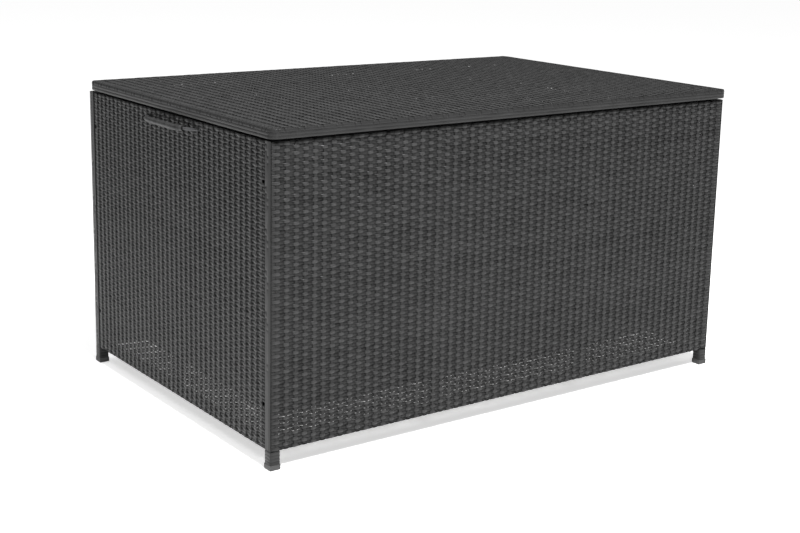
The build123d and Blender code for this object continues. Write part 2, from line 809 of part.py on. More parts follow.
def lid_bracket_screws():
    """Y and Z of a lid bracket's two screws, in the crossbar beside it."""
    reach = bracket_half_length * 0.6
    return [(strut_lid_y + offset, lid_bottom + tube / 2) for offset in (-reach, reach)]


def rounded_plate(middle, direction, width, height, thick):
    """Adds a plate with round corners that grows from its middle along X."""
    with BuildSketch(Plane(middle, x_dir=(0, 1, 0), z_dir=direction)) as outline:
        RectangleRounded(width, height, bracket_corner_radius)
    extrude(outline.sketch, amount=thick)


def make_strut_brackets(side, name):
    """Plate with the strut's lower pin, on the side frame, and plate that carries its upper end."""
    wall = side * inner_half_width
    with BuildPart() as body_bracket:
        middle = (wall, strut_body_y, strut_body_z)
        height = 2 * body_bracket_half_height
        rounded_plate(middle, (-side, 0, 0), tube, height, bracket_thick)
        for y, z in body_bracket_screws():
            hole = (wall + side, y, z)
            round_bar(hole, (-side, 0, 0), screw_radius + screw_clearance, bracket_thick + 2, Mode.SUBTRACT)
    save(body_bracket.part, f"strut_{name}_body_bracket")

    with BuildPart() as lid_bracket:
        top = lid_bottom + tube - tube_wall
        low = lid_bottom - lid_bracket_drop
        middle = (side * strut_bar_outer, strut_lid_y, (top + low) / 2)
        rounded_plate(middle, (side, 0, 0), 2 * bracket_half_length, top - low, bracket_thick)
        for y, z in lid_bracket_screws():
            hole = (side * (strut_bar_outer - 1), y, z)
            round_bar(hole, (side, 0, 0), screw_radius + screw_clearance, bracket_thick + 2, Mode.SUBTRACT)
    save(lid_bracket.part, f"strut_{name}_lid_bracket")

    with BuildPart() as body_pin:
        start_x = inner_half_width - bracket_thick
        end_x = strut_x - eye_thick / 2 - bracket_gap
        start = (side * start_x, strut_body_y, strut_body_z)
        round_bar(start, (-side, 0, 0), pin_radius, start_x - end_x)
        end = (side * end_x, strut_body_y, strut_body_z)
        round_bar(end, (-side, 0, 0), pin_head_radius, pin_head_thick)
    save(body_pin.part, f"strut_{name}_body_pin")

    with BuildPart() as lid_pin:
        head_x = strut_x + eye_thick / 2 + pin_clearance
        shank_x = strut_x - eye_thick / 2
        head = (side * head_x, strut_lid_y, strut_lid_z)
        round_bar(head, (side, 0, 0), pin_head_radius, pin_head_thick)
        round_bar(head, (-side, 0, 0), pin_radius, head_x - shank_x)
    save(lid_pin.part, f"strut_{name}_lid_pin")


def add_eye(center, toward, neck_length):
    """Adds the flat eye round a pin, with the neck that joins it to a strut."""
    half = Vector(eye_thick / 2, 0, 0)
    round_bar(center - half, (1, 0, 0), eye_radius, eye_thick)
    round_bar(center, toward, eye_neck_radius, neck_length)
    hole_radius = pin_radius + pin_clearance
    round_bar(center - half * 2, (1, 0, 0), hole_radius, 2 * eye_thick, Mode.SUBTRACT)


def make_strut(side, name):
    """Gas strut: a tube with its eye and gland, and a rod with its piston and eye."""
    along = strut_direction
    bore = strut_tube_radius - strut_tube_wall
    tube_end = strut_tube_start + strut_tube_length
    with BuildPart() as cylinder:
        start = strut_point(side, strut_tube_start)
        round_bar(start, along, strut_tube_radius, strut_tube_length)
        mouth = strut_point(side, tube_end + 1)
        depth = strut_tube_length - 2 * strut_tube_wall + 1
        round_bar(mouth, along * -1, bore, depth, Mode.SUBTRACT)
    save(cylinder.part, f"strut_{name}_cylinder")

    with BuildPart() as body_eye:
        add_eye(strut_point(side, 0), along, strut_tube_start)
    save(body_eye.part, f"strut_{name}_body_eye")

    with BuildPart() as gland:
        start = strut_point(side, tube_end - strut_gland_length)
        round_bar(start, along, bore, strut_gland_length)
        before = strut_point(side, tube_end - 2 * strut_gland_length)
        rod_hole = strut_rod_radius + strut_running_clearance
        round_bar(before, along, rod_hole, 4 * strut_gland_length, Mode.SUBTRACT)
    save(gland.part, f"strut_{name}_gland")

    rod_start = tube_end - strut_rod_inside
    rod_end = strut_length - strut_tube_start
    with BuildPart() as rod:
        start = strut_point(side, rod_start)
        round_bar(start, along, strut_rod_radius, rod_end - rod_start)
    save(rod.part, f"strut_{name}_rod")

    with BuildPart() as piston:
        start = strut_point(side, rod_start - strut_piston_length)
        round_bar(start, along, bore - strut_running_clearance, strut_piston_length)
    save(piston.part, f"strut_{name}_piston")

    with BuildPart() as lid_eye:
        add_eye(strut_point(side, strut_length), along * -1, strut_tube_start)
    save(lid_eye.part, f"strut_{name}_lid_eye")


def make_strut_screws():
    """Screws of the brackets on the body and of the brackets on the lid."""
    with BuildPart() as body_screws:
        for side in (-1, 1):
            for y, z in body_bracket_screws():
                add_pan_screw((side * (inner_half_width - bracket_thick), y, z), (side, 0, 0))
    save(body_screws.part, "strut_body_screws")
    with BuildPart() as lid_screws:
        for side in (-1, 1):
            for y, z in lid_bracket_screws():
                add_pan_screw((side * strut_bracket_face, y, z), (-side, 0, 0))
    save(lid_screws.part, "strut_lid_screws")


os.makedirs(parts_folder, exist_ok=True)
make_end_frame(-1, "front_frame")
make_end_frame(1, "back_frame")
make_end_weave(-1, "front_weave")
make_end_weave(1, "back_weave")
make_foot_caps()
for side, name in ((-1, "left"), (1, "right")):
    make_side_frame(side, f"{name}_frame")
    make_side_weave(side, f"{name}_weave")
    make_handle(side, f"{name}_handle_bar", f"{name}_handle_wrap")
make_corner_fasteners()
make_floor()
make_liner()
make_liner_straps()
make_lid()
make_lid_buffers()
for x, name in zip(hinge_xs, ("left", "middle", "right")):
    make_hinge(x, name)
make_hinge_screws()
for side, name in ((-1, "left"), (1, "right")):
    make_strut_brackets(side, name)
    make_strut(side, name)
make_strut_screws()
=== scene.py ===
"""Looks of the deck storage box: woven strands, fabric liner, paints and a plain studio.

Metres, in the part's own frame: +Z up, the front faces -Y. Places come from the frame's nodes.
"""

import json
import math

import bpy
import numpy as np
from mathutils import Matrix, Vector


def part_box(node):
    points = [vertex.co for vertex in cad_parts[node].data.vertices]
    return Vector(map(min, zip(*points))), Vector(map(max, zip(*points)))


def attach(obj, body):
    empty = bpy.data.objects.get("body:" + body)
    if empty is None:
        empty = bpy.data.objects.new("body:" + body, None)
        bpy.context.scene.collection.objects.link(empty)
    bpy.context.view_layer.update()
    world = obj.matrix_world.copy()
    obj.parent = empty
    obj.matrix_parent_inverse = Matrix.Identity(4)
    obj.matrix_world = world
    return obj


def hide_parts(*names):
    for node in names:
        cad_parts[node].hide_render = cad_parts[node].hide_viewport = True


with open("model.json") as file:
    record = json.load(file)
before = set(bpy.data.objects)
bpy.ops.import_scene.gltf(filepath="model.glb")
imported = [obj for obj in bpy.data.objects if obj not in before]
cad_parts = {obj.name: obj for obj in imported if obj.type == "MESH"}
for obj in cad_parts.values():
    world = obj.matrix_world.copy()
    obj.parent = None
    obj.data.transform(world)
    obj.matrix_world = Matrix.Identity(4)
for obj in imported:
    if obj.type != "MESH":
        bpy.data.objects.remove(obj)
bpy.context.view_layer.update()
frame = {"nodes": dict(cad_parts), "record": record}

# Strands
strand_width = 0.0080
strand_thick = 0.0011
strand_crown = 0.0016  # how far a strand's edges drop below its middle
stake_width = 0.0078
stake_thick = 0.0009
row_pitch = 0.008
stake_spacing = 0.0252  # wanted; the real one divides the panel evenly
end_stake_inset = 0.0145  # from the frame's end to the outermost stakes
row_swing = 0.0013  # how far a row leaves the weave's middle plane at a stake
stake_swing = 0.00025
weave_middle = 0.00195  # from the frame to the weave's middle plane
row_wander = 0.00014  # how unevenly a row runs along the panel
row_depth_wander = 0.00009
row_roll_wander = math.radians(4.2)
row_shade_wander = 0.09
row_bow = 0.00018
stake_wander = 0.00025
turned_shade = 0.42  # of a row where it turns over the frame's edge
edge_level = 0.0022  # height of the rows where they turn over the frame's edge

# A row's way from outside one stake to inside the next: share of the distance, level, and shade. The shade
# is painted light: a painted highlight where the row passes over a stake, painted shadow at the steep part
# where it dives between stakes, and painted shade while it runs inside
way_in = ((0.0, 1.0, 0.36), (0.24, 0.90, 0.24), (0.34, -0.60, -0.55), (0.44, -0.90, -0.22))
way_out = ((0.0, -1.0, -0.12), (0.56, -0.90, -0.22), (0.66, -0.60, -0.55), (0.76, 0.90, 0.24))

# Handles, each a bar bowed out from the frame with strand wound on it. The first four follow the bar
grip_half = 0.078
handle_half = 0.145
handle_root_depth = 0.005
handle_bend = 0.110
wrap_half = 0.098
wrap_core_radius = 0.0060
wrap_radius = 0.0070
wrap_pitch = 0.0080
route_steps = 700
core_step = 20  # steps of the route that make one of the padded core

# Liner
cloth_step = 0.018
settle_frames = 22
wall_corner = 0.030
sheet_lift = 0.0012  # of the fabric over the liner's underside
strap_half_width = 0.016
strap_split = 0.05  # points further apart than this are on different straps
wide_gap = 0.4  # between two straps, from where the rim sags in full
ripple_depth = 0.0022
ripple_turns = 41  # of the wall's ripples, in radians for each metre
rim_sag = 0.020  # of the liner's rim between two straps
wall_slack = 0.015  # how far the wall stands in from the frames between two straps
wall_travel = 0.026  # how far a point of the wall may move as it settles
hem_width = 0.016
hem_thick = 0.0024
hem_crown = 0.0004
piping_radius = 0.0016
slat_dip = 0.0008
floor_swell = 0.0003
floor_columns = 81
floor_rows = 181
slat_count = 9
slat_gap = 0.01875

# Studio
floor_glow = 0.57
sky_at_horizon = 0.12
sky_overhead = 0.62
studio_reach = 30.0
lamp_target = (0, 0, 0.4)
camera_place = (-2.299, -3.100, 1.285)
camera_yaw = math.radians(36.21)
camera_pitch = math.radians(12.12)
camera_roll = math.radians(1.20)
camera_lens = 63.55
camera_shift = -0.075

# Edges of the panels
band_levels = (-0.0172, -0.0095, -0.0018)  # of the strands that run along an edge
band_height = 0.00275  # from the frame to the middle of an edge strand
band_roll = math.radians(9)  # of the outermost one
turn_along = 0.0025
turn_down = 0.0032
tuck_height = 0.0009
tuck_length = 0.005
bump_half_length = 0.0078  # of the places where an edge strand passes over a stake
bump_dip_length = 0.0034
bump_steps = (0.003, 0.0058, 0.0078, 0.0095, 0.0112)  # each way from the middle of a bump
bump_rise = 0.0005
bump_dip = 0.0010
dip_painted_shade = 260  # painted shade: darkening for each metre of dip behind a stake
edge_step = 0.04
edge_stake_pitch = 0.096  # between the stakes that an inner strand along a side runs over
edge_wander = 0.00010
edge_wanders = 40
edge_shades = 30
edge_overrun = 0.001
leg_rings = (0.0183, 0.0262, 0.0341, 0.0420)  # heights of the strands round each leg
leg_corner = 0.0034
leg_ring_wander = 0.00012
leg_ring_height = 0.0033  # from the leg's tube to the middle of a strand round it
bolt_head_radius = 0.0042
bolt_gap_offset = 0.0045  # from a side panel's end to the gap over each bolt head
bolt_gap_length = 0.0105
handle_gap_length = 0.034
handle_gap_clearance = 0.002
lid_corner_radius = 0.022
lid_row_margin = 0.006
lid_edge_step = 0.03
lid_bump_step = 0.0017


# ------------------------------------------------------------------ strands


def strand_section(width, thick, crown):
    """Outline of a strand, as (across, outward): a crowned outer face and a flat inner one."""
    shares = np.array([-1.0, -0.62, 0.0, 0.62, 1.0])
    outer = [(share * width / 2, thick / 2 - crown * share**2) for share in shares]
    inner = [(0.95 * width / 2, -thick / 2), (-0.95 * width / 2, -thick / 2)]
    return np.array(outer + inner)


row_section = strand_section(strand_width, strand_thick, strand_crown)
edge_section = strand_section(strand_width, strand_thick, 0.5 * strand_crown)
wrap_section = strand_section(strand_width, strand_thick, 0.25 * strand_crown)
stake_section = np.array(
    [(-0.5, 0.3), (0.0, 0.5), (0.5, 0.3), (0.5, -0.5), (-0.5, -0.5)]
) * (stake_width, stake_thick)


def unit(vectors):
    return vectors / np.linalg.norm(vectors, axis=-1, keepdims=True)


class Strands:
    """Collects strands and makes one mesh of them, with a map in metres along each strand."""

    def __init__(self):
        self.rings = []
        self.lengths = []
        self.outlines = []
        self.closed = []
        self.shades = []

    def add(self, points, section, across, roll=0.0, closed=False, shade=0.5):
        """Sweeps a section along points. across is the direction of the section's width."""
        points = np.asarray(points, float)
        if closed:
            along = unit(np.roll(points, -1, 0) - np.roll(points, 1, 0))
        else:
            along = unit(np.gradient(points, axis=0))
        across = np.broadcast_to(np.asarray(across, float), points.shape)
        across = unit(across - (across * along).sum(1, keepdims=True) * along)
        outward = np.cross(along, across)
        turn = np.broadcast_to(np.asarray(roll, float), len(points))[:, None]
        turned_across = across * np.cos(turn) + outward * np.sin(turn)
        turned_outward = outward * np.cos(turn) - across * np.sin(turn)
        ring = (
            points[:, None]
            + section[None, :, :1] * turned_across[:, None]
            + section[None, :, 1:] * turned_outward[:, None]
        )
        steps = np.linalg.norm(np.diff(points, axis=0, append=points[:1]), axis=1)
        self.rings.append(ring)
        self.lengths.append(np.concatenate([[0.0], np.cumsum(steps)]))
        self.outlines.append(section)
        self.closed.append(closed)
        self.shades.append(np.broadcast_to(np.asarray(shade, float), len(points)))

    def mesh(self, name):
        """One mesh of every strand: quads along each, and a cap at each open end."""
        vertices, corners, starts, metric, packed, shades = [], [], [], [], [], []
        first, loops = 0, 0
        count = len(self.rings)
        longest = max(lengths[-1] for lengths in self.lengths)
        for index in range(count):
            ring, section, closed = self.rings[index], self.outlines[index], self.closed[index]
            number, sides = ring.shape[:2]
            around = np.linalg.norm(np.roll(section, -1, 0) - section, axis=1)
            around = np.concatenate([[0.0], np.cumsum(around)])
            i, s = np.meshgrid(np.arange(number if closed else number - 1), np.arange(sides), indexing="ij")
            i, s = i.ravel(), s.ravel()
            after, beside = (i + 1) % number, (s + 1) % sides
            quads = first + np.stack(
                [i * sides + s, after * sides + s, after * sides + beside, i * sides + beside], 1
            )
            lengths = self.lengths[index]
            along = np.stack([lengths[i], lengths[i + 1], lengths[i + 1], lengths[i]], 1)
            across = np.stack([around[s], around[s], around[s + 1], around[s + 1]], 1)
            corners.append(quads.ravel())
            starts.append(loops + 4 * np.arange(len(quads)))
            loops += quads.size
            alongs, acrosses = [along.ravel()], [across.ravel()]
            if not closed:
                for cap, at in ((np.arange(sides), 0.0), (np.arange(sides)[::-1], lengths[number - 1])):
                    ring_start = 0 if at == 0.0 else (number - 1) * sides
                    corners.append(first + ring_start + cap)
                    starts.append(np.array([loops]))
                    loops += sides
                    alongs.append(np.full(sides, at))
                    acrosses.append(around[cap])
            along, across = np.concatenate(alongs), np.concatenate(acrosses)
            metric.append(np.stack([along, across], 1))
            band = (index + 0.06 + 0.88 * across / around[-1]) / count
            packed.append(np.stack([along / longest, band], 1))
            vertices.append(ring.reshape(-1, 3))
            shades.append(np.repeat(self.shades[index], sides))
            first += number * sides
        mesh = bpy.data.meshes.new(name)
        vertices, corners = np.concatenate(vertices), np.concatenate(corners)
        starts = np.concatenate(starts)
        mesh.vertices.add(len(vertices))
        mesh.vertices.foreach_set("co", vertices.astype(np.float32).ravel())
        mesh.loops.add(len(corners))
        mesh.loops.foreach_set("vertex_index", corners.astype(np.int32))
        mesh.polygons.add(len(starts))
        mesh.polygons.foreach_set("loop_start", starts.astype(np.int32))
        mesh.update(calc_edges=True)
        mesh.polygons.foreach_set("use_smooth", np.ones(len(starts), bool))
        for layer_name, values in (("strand", metric), ("OFBake", packed)):
            layer = mesh.uv_layers.new(name=layer_name)
            layer.data.foreach_set("uv", np.concatenate(values).astype(np.float32).ravel())
        # shade: tone that differs at random, with painted highlight and painted shade where the weave bumps
        # out or dips in
        shade = mesh.attributes.new("shade", "FLOAT", "POINT")
        shade.data.foreach_set("value", np.concatenate(shades).astype(np.float32))
        mesh.set_sharp_from_angle(angle=math.radians(45))
        return mesh


def add_piece(mesh, material, body, nodes):
    """Makes a piece of a mesh, on its body, in the place of the nodes it stands for."""
    piece = bpy.data.objects.new(mesh.name, mesh)
    bpy.context.scene.collection.objects.link(piece)
    mesh.materials.append(material)
    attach(piece, body)
    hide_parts(*nodes)
    return piece


# ------------------------------------------------------------------ panels


class Panel:
    """A woven panel. u runs along its rows, v along its stakes, and n outwards from its frame."""

    def __init__(self, name, u_axis, v_axis, origin, half_u, v_range, corner=0.0):
        self.name = name
        self.u_axis, self.v_axis = np.array(u_axis, float), np.array(v_axis, float)
        self.n_axis = np.cross(self.u_axis, self.v_axis)
        self.origin = np.array(origin, float)
        self.half_u = half_u
        self.v_low, self.v_high = v_range
        self.corner = corner
        self.reach = half_u - end_stake_inset
        self.stakes = round(2 * self.reach / stake_spacing)
        self.pitch = 2 * self.reach / self.stakes
        self.random = np.random.default_rng(sum(name.encode()))

    def place(self, u, v, n):
        """Points in the part's frame of places on the panel."""
        u, v, n = np.broadcast_arrays(u, v, n)
        return (
            self.origin
            + u[..., None] * self.u_axis
            + v[..., None] * self.v_axis
            + n[..., None] * self.n_axis
        )

    def stake_u(self):
        """u of every stake."""
        return -self.reach + self.pitch * np.arange(self.stakes + 1)

    def end_at(self, v):
        """Half length of the frame at a height v, shorter in a rounded corner."""
        middle, half_v = (self.v_low + self.v_high) / 2, (self.v_high - self.v_low) / 2
        into = max(0.0, abs(v - middle) - (half_v - self.corner))
        return self.half_u - self.corner + math.sqrt(max(0.0, self.corner**2 - into**2))


def edge_turn(edge, level):
    """Where a strand goes round an edge and under the edge's strands, as (distance, n) outwards."""
    angles = np.radians([12, 34, 56, 78])
    along = edge - turn_along + tuck_height + turn_along * np.sin(angles)
    height = level - turn_down + turn_down * np.cos(angles)
    along = np.concatenate([along, [edge + tuck_height, edge + tuck_height]])
    height = np.concatenate([height, [level - turn_down, level - turn_down - tuck_length]])
    return along, height


def woven_sides(panel, row):
    """Which side of each stake a row passes: 1 outside and -1 inside."""
    return np.where((np.arange(panel.stakes + 1) + row) % 2 == 0, 1.0, -1.0)


def add_row(strands, panel, row, v, gaps=()):
    """Adds a row from edge to edge, over and under the stakes. gaps are stretches of u left out."""
    random = panel.random
    sides = woven_sides(panel, row)
    shares, levels, shades = [], [], []
    for side in sides[:-1]:
        for share, level, shade in way_in if side > 0 else way_out:
            shares.append(share)
            levels.append(level)
            shades.append(shade)
    steps = len(way_in)
    stake = np.append(np.repeat(np.arange(panel.stakes), steps) + np.array(shares), panel.stakes)
    levels = np.append(levels, sides[-1])
    whole = np.arange(panel.stakes + 1)

    def varied(spread):
        """Something that wanders at random from stake to stake."""
        return np.interp(stake, whole, random.normal(0.0, spread, panel.stakes + 1))

    u = -panel.reach + panel.pitch * stake
    n = weave_middle + row_swing * levels - np.abs(varied(row_depth_wander))
    bow = row_bow * np.sin(stake * random.uniform(0.16, 0.28) + random.uniform(0, 6))
    dv, rolls = varied(row_wander) + bow, varied(row_roll_wander)
    # shade: tone that differs at random, plus painted highlight over each stake and painted shade where the
    # row dives in and runs inside
    shade = 0.5 + 0.2 * (random.random() - 0.5) + varied(row_shade_wander) + np.append(shades, -0.04)
    turn_u, turn_n = edge_turn(panel.end_at(v), edge_level)
    u = np.concatenate([-turn_u[::-1], u, turn_u])
    n = np.concatenate([turn_n[::-1], n, turn_n])
    dv, rolls = np.pad(dv, len(turn_u), "edge"), np.pad(rolls, len(turn_u), "constant")
    shade = np.pad(shade, len(turn_u), "constant", constant_values=turned_shade)
    keep = np.ones(len(u), bool)
    for low, high in gaps:
        keep &= (u < low) | (u > high)
    points = panel.place(u, v + dv, n)
    runs = np.split(np.arange(len(u)), np.flatnonzero(np.diff(keep.astype(int))) + 1)
    for run in runs:
        if keep[run[0]] and len(run) > 1:
            strands.add(points[run], row_section, panel.v_axis, rolls[run], shade=shade[run])


def add_stake(strands, panel, index, rows):
    """Adds a stake between the two edges that cross it, inside where a row passes outside."""
    u = panel.stake_u()[index]
    n = [weave_middle - stake_swing * woven_sides(panel, row)[index] for row in range(len(rows))]
    turn_high, turn_n = edge_turn(panel.v_high, edge_level)
    turn_low, _ = edge_turn(-panel.v_low, edge_level)
    v = np.concatenate([-turn_low[::-1], rows, turn_high])
    n = np.concatenate([turn_n[::-1], n, turn_n])
    jitter = panel.random.normal(0.0, stake_wander)
    points = panel.place(u + jitter, v, n)
    strands.add(points, stake_section, -panel.u_axis, shade=panel.random.uniform(0.15, 0.4))


def bumped(distance, marks):
    """Height of an edge strand along its length: over a stake at each mark, in behind on each side."""
    nearest = np.min(np.abs(distance[:, None] - np.asarray(marks)[None]), axis=1)
    over = np.clip(nearest / bump_half_length, 0, 1)
    behind = np.clip((nearest - bump_half_length) / bump_dip_length, -1, 1)
    rise = bump_rise * np.cos(over * np.pi / 2)
    return rise - bump_dip * (0.5 + 0.5 * np.cos(behind * np.pi))


def straight_steps(length, marks):
    """Distances along a straight edge strand, close together at the marks and sparse between."""
    near = np.array([*(-step for step in bump_steps), 0, *bump_steps])
    steps = np.concatenate([np.arange(0.0, length, edge_step), [length], *(mark + near for mark in marks)])
    steps = np.unique(steps[(steps >= 0) & (steps <= length)])
    return steps[np.concatenate([[True], np.diff(steps) > 0.0008])]


def add_edge_strand(strands, panel, start, end, across, outward, roll=0.0, marks=()):
    """Adds a straight strand along an edge, with a bump over the stake at each mark."""
    length = np.linalg.norm(end - start)
    steps = straight_steps(length, marks)
    points = start + (end - start) * steps[:, None] / length
    wanders = panel.random.normal(0.0, edge_wander, edge_wanders)
    wander = np.interp(steps, np.linspace(0, length, edge_wanders), wanders)
    points += across * wander[:, None]
    shades = panel.random.random(edge_shades)
    shade = 0.5 + 0.2 * (np.interp(steps, np.linspace(0, length, edge_shades), shades) - 0.5)
    if len(marks):
        rise = bumped(steps, marks)
        points += outward * rise[:, None]
        # painted shade: darker where the strand dips in behind a stake
        shade += dip_painted_shade * np.minimum(rise, 0)
    strands.add(points, edge_section, across, roll, shade=shade)


def add_straight_edges(strands, panel):
    """Adds the strands along the four edges of a square-cornered panel."""
    side_u = panel.half_u + band_height
    height = panel.v_high - panel.v_low
    for level in band_levels:
        outermost = level == band_levels[-1]
        roll = band_roll if outermost else 0.0
        for sign in (-1, 1):
            low = panel.place(sign * side_u, panel.v_low - band_height, level)
            high = panel.place(sign * side_u, panel.v_high + band_height, level)
            start, end = (high, low) if sign > 0 else (low, high)
            first = edge_stake_pitch / 2 + 16 * abs(level)
            marks = () if outermost else np.arange(first, height, edge_stake_pitch)
            add_edge_strand(
                strands, panel, start, end, panel.n_axis, sign * panel.u_axis, roll, marks
            )
        for v, sign in ((panel.v_low - band_height, -1), (panel.v_high + band_height, 1)):
            left = panel.place(-panel.half_u - edge_overrun, v, level)
            right = panel.place(panel.half_u + edge_overrun, v, level)
            start, end = (left, right) if sign > 0 else (right, left)
            marks = panel.stake_u()[2:-1:2] + panel.half_u if outermost else ()
            add_edge_strand(strands, panel, start, end, panel.n_axis, sign * panel.v_axis, roll, marks)


def rounded_loop(half_x, half_y, radius, spacing=0.03, arc_steps=7):
    """Points round a rounded rectangle, anticlockwise from above."""
    points = []
    for quarter, (sx, sy) in enumerate(((1, -1), (1, 1), (-1, 1), (-1, -1))):
        for angle in np.linspace(-90, 0, arc_steps) + 90 * quarter:
            turn = math.radians(angle)
            x = sx * (half_x - radius) + radius * math.cos(turn)
            y = sy * (half_y - radius) + radius * math.sin(turn)
            points.append((x, y))
    points = np.array(points)
    filled = []
    for a, b in zip(points, np.roll(points, -1, 0)):
        count = max(1, round(np.linalg.norm(b - a) / spacing))
        filled += [a + (b - a) * step / count for step in range(count)]
    return np.array(filled)


def add_leg_sleeves(strands, panel):
    """Adds the strands wound round the panel's two legs, below its bottom edge."""
    middle = panel.place(0, 0, -tube / 2)
    for sign in (-1, 1):
        center = middle + sign * (panel.half_u - tube / 2) * panel.u_axis
        half = tube / 2 + leg_ring_height
        for height in leg_rings:
            loop = rounded_loop(half, half, leg_corner, 0.01, 5)
            z = height + panel.random.normal(0.0, leg_ring_wander, len(loop))
            points = np.column_stack([loop + center[:2], z])
            shade = 0.4 + 0.3 * panel.random.random()
            strands.add(points, edge_section, (0, 0, 1), closed=True, shade=shade)


def panel_rows(low, high, anchor):
    """v of every row between two heights, one of them at the anchor."""
    below = math.floor((anchor - low - 0.0042) / row_pitch)
    above = math.floor((high - anchor - 0.0020) / row_pitch)
    return anchor + row_pitch * np.arange(-below, above + 1)


def nearest_row(rows, height):
    """Number of the row at a height."""
    return int(np.argmin(np.abs(rows - height)))


def bolt_gaps(panel):
    """Stretches of a side panel's row left out in front of its two bolt heads."""
    near = panel.half_u + skin - bolt_gap_offset
    far = near - bolt_gap_length
    return ((-near, -far), (far, near))


def handle_gaps(bar_half):
    """Stretches of a side panel's row left out where the handle's bar comes through."""
    far = bar_half + handle_gap_clearance
    near = far - handle_gap_length
    return ((-far, -near), (near, far))


def weave_panel(panel, node, material, body, rows, gaps):
    """Makes a panel's pieces: its odd and even rows apart, and its stakes."""
    for parity, word in ((0, "even"), (1, "odd")):
        strands = Strands()
        for row in range(parity, len(rows), 2):
            add_row(strands, panel, row, rows[row], gaps.get(row, ()))
        add_piece(strands.mesh(f"{node}_{word}_rows"), material, body, [node])
    strands = Strands()
    for index in range(panel.stakes + 1):
        add_stake(strands, panel, index, rows)
    add_piece(strands.mesh(f"{node}_stakes"), material, body, [node])


# ------------------------------------------------------------------ materials


class Nodes:
    """Short hand for building one material's nodes."""

    def __init__(self, name):
        self.material = bpy.data.materials.new(name)
        self.material.use_nodes = True
        self.tree = self.material.node_tree
        self.shader = self.tree.nodes["Principled BSDF"]

    def node(self, kind, **values):
        made = self.tree.nodes.new(kind)
        for key, value in values.items():
            if key in made.inputs:
                made.inputs[key].default_value = value
            else:
                setattr(made, key, value)
        return made

    def link(self, source, target):
        self.tree.links.new(source, target)

    def noise(self, vector, scale, detail=3.0, rough=0.55):
        made = self.node("ShaderNodeTexNoise", Scale=scale, Detail=detail, Roughness=rough)
        self.link(vector, made.inputs["Vector"])
        return made.outputs["Fac"]

    def scaled(self, vector, scale):
        made = self.node("ShaderNodeMapping")
        made.inputs["Scale"].default_value = scale
        self.link(vector, made.inputs["Vector"])
        return made.outputs["Vector"]

    def place(self):
        return self.node("ShaderNodeTexCoord").outputs["Object"]

    def spread(self, value, low, high, from_low=0.3, from_high=0.7):
        """Maps a factor from one range to another."""
        made = self.node("ShaderNodeMapRange")
        for key, number in (
            ("From Min", from_low), ("From Max", from_high), ("To Min", low), ("To Max", high),
        ):
            made.inputs[key].default_value = number
        self.link(value, made.inputs["Value"])
        return made.outputs["Result"]

    def maths(self, operation, a, b):
        made = self.node("ShaderNodeMath", operation=operation)
        for socket, value in zip(made.inputs, (a, b)):
            if isinstance(value, (int, float)):
                socket.default_value = value
            else:
                self.link(value, socket)
        return made.outputs[0]

    def ramp(self, value, low, high):
        """Colour between two, by a factor from 0 to 1."""
        made = self.node("ShaderNodeMix", data_type="RGBA")
        self.link(value, made.inputs["Factor"])
        made.inputs[6].default_value = (*low, 1)
        made.inputs[7].default_value = (*high, 1)
        return made.outputs[2]

    def bump(self, value, distance, strength=1.0, after=None):
        made = self.node("ShaderNodeBump", Strength=strength, Distance=distance)
        self.link(value, made.inputs["Height"])
        if after is not None:
            self.link(after, made.inputs["Normal"])
        return made.outputs["Normal"]

    def finish(self, colour, roughness, normal, specular=0.5, metallic=0.0, sheen=0.0):
        for value, key in ((colour, "Base Color"), (roughness, "Roughness"), (normal, "Normal")):
            if value is not None:
                self.link(value, self.shader.inputs[key])
        self.shader.inputs["Specular IOR Level"].default_value = specular
        self.shader.inputs["Metallic"].default_value = metallic
        self.shader.inputs["Sheen Weight"].default_value = sheen
        return self.material


def strand_material(name, dark, light, specular):
    """Flat resin strand: fine lengthwise grain, an uneven satin gloss and a little dust. Its colour follows
    the shade attribute, which holds tone that differs at random and the painted highlight and painted shade
    of the weave.
    """
    n = Nodes(name)
    strand = n.node("ShaderNodeUVMap", uv_map="strand").outputs["UV"]
    shade = n.node("ShaderNodeAttribute", attribute_name="shade").outputs["Fac"]
    grain = n.noise(n.scaled(strand, (40, 2200, 1)), 1.0, 4.0, 0.6)
    cloud = n.noise(n.place(), 9.0, 4.0)
    fine = n.noise(n.place(), 420.0, 2.0)
    # the shade attribute brings painted highlight and painted shade into the colour, along with random tone
    mixed = n.maths("ADD", n.maths("MULTIPLY", shade, 0.85), n.maths("MULTIPLY", cloud, 0.15))
    mixed = n.maths("ADD", mixed, n.spread(grain, -0.08, 0.08))
    colour = n.ramp(n.spread(mixed, 0.0, 1.0, 0.05, 0.85), dark, light)
    rough = n.maths("ADD", n.spread(grain, 0.30, 0.42), n.spread(fine, -0.04, 0.06))
    normal = n.bump(grain, 0.00012, 0.55)
    normal = n.bump(fine, 0.00006, 0.35, normal)
    return n.finish(colour, rough, normal, specular)


def paint_material(name, dark, light, grain_scale, rough, specular=0.5):
    """Powder coat or moulded plastic: a fine stipple, with a slightly uneven tone."""
    n = Nodes(name)
    stipple = n.noise(n.place(), grain_scale, 3.0, 0.6)
    cloud = n.noise(n.place(), 14.0, 4.0)
    colour = n.ramp(n.spread(cloud, 0.0, 1.0), dark, light)
    normal = n.bump(stipple, 0.00008, 0.5)
    return n.finish(colour, n.spread(stipple, rough - 0.06, rough + 0.07), normal, specular)


def metal_material(name, dark, light, rough, stretch, bump=0.00004):
    """Bare or plated steel with fine turned or drawn marks and a little tarnish."""
    n = Nodes(name)
    marks = n.noise(n.scaled(n.place(), stretch), 1.0, 4.0, 0.65)
    tarnish = n.noise(n.place(), 60.0, 4.0)
    colour = n.ramp(n.spread(tarnish, 0.0, 1.0, 0.35, 0.68), dark, light)
    return n.finish(
        colour, n.spread(marks, rough - 0.07, rough + 0.1), n.bump(marks, bump, 0.4), 0.5, 1.0
    )


